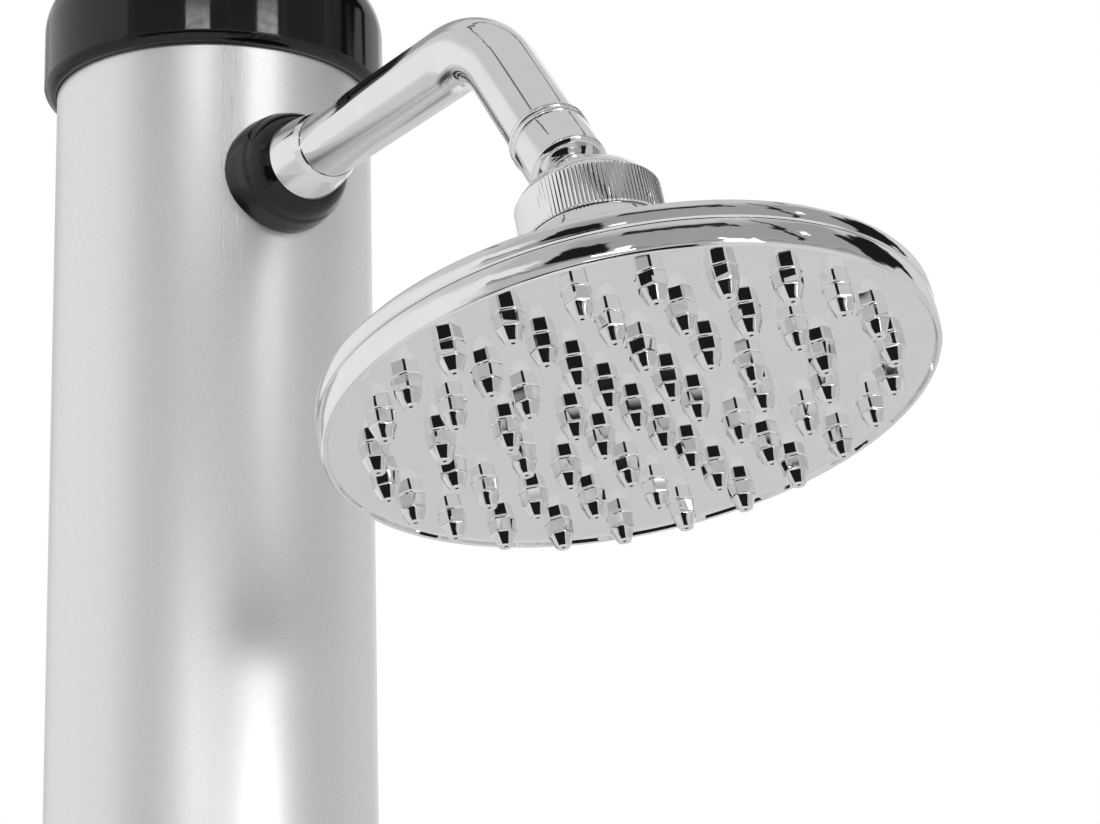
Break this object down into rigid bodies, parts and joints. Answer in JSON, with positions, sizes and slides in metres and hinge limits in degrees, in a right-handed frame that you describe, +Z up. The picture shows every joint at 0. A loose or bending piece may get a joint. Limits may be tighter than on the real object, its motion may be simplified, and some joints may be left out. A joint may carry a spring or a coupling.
{
  "type": "outdoor shower post",
  "caption": "Free-standing outdoor shower: satin round column on a bolted base, with a bent chrome arm, a round swivelling shower head and a lever mixer.",
  "frame": {"origin": "centre of the base flange's underside, on the column's axis", "axes": "+Z up along the column, +X towards the arm and the mixer, +Y to the left of a bather who faces the column"},
  "size_m": [0.4057, 0.2, 2.1711],
  "materials": {
    "black_base": "satin black moulding",
    "black_gloss": "gloss black moulding",
    "satin_post": "satin anodised",
    "steel_small": "stainless",
    "chrome_arm": "polished chrome",
    "chrome_head": "chrome-plated shell",
    "brass_inner": "plain brass",
    "seat_plastic": "white acetal",
    "seal_rubber": "black rubber",
    "tank_plastic": "black polyethylene",
    "spacer_foam": "dense foam",
    "pipe_plastic": "grey-white plastic pipe"
  },
  "bodies": {
    "root": {"base_plate": "black_base", "foot_ring": "black_gloss", "post_tube": "satin_post", "foot_screws": "steel_small", "post_cap": "black_gloss", "arm_grommet": "black_gloss", "arm_collar": "chrome_arm", "arm_washer": "steel_small", "arm_nut": "brass_inner", "shower_arm": "chrome_arm", "riser_elbow": "brass_inner", "ball_stem": "chrome_arm", "mixer_gasket": "seal_rubber", "wall_plate": "chrome_arm", "mixer_body": "chrome_arm", "cartridge": "seat_plastic", "ring_nut": "brass_inner", "solar_tank": "tank_plastic", "tank_spacers": "spacer_foam", "cold_pipe": "pipe_plastic", "hot_pipe": "pipe_plastic", "mixed_pipe": "pipe_plastic", "inlet_connector": "brass_inner", "inlet_seal": "seal_rubber", "inlet_nut": "brass_inner", "inlet_tee": "brass_inner", "tank_feed": "pipe_plastic"},
    "ball_tilt": {"seat_ring": "seat_plastic"},
    "ball_side": {"ball_seal": "seal_rubber"},
    "head": {"coupling_nut": "chrome_head", "head_back": "chrome_head", "spray_face": "chrome_head", "head_seal": "seal_rubber", "inlet_filter": "seat_plastic"},
    "mixer_rotor": {"cartridge_carrier": "seat_plastic", "stem_pin": "steel_small"},
    "lever": {"cartridge_stem": "brass_inner", "mixer_lever": "chrome_arm", "lever_plug": "black_gloss", "lever_screw": "steel_small"}
  },
  "joints": [
    {"name": "head_tilt", "type": "hinge", "parent": "root", "child": "ball_tilt", "pos_m": [0.21779, 0, 2.04076], "axis": [0, 1, 0], "range_deg": [-50, 3]},
    {"name": "head_side", "type": "hinge", "parent": "ball_tilt", "child": "ball_side", "pos_m": [0.21779, 0, 2.04076], "axis": [0.9666, 0, 0.2565], "range_deg": [-10, 10]},
    {"name": "head_spin", "type": "hinge", "parent": "ball_side", "child": "head", "pos_m": [0.21779, 0, 2.04076], "axis": [-0.2564, -0.0206, 0.9664], "continuous": true},
    {"name": "mixer_turn", "type": "hinge", "parent": "root", "child": "mixer_rotor", "pos_m": [0.084, 0, 1.1], "axis": [1, 0, 0], "range_deg": [-50, 50]},
    {"name": "lever_lift", "type": "hinge", "parent": "mixer_rotor", "child": "lever", "pos_m": [0.084, 0, 1.1], "axis": [0, -1, 0], "range_deg": [0, 22]}
  ]
}
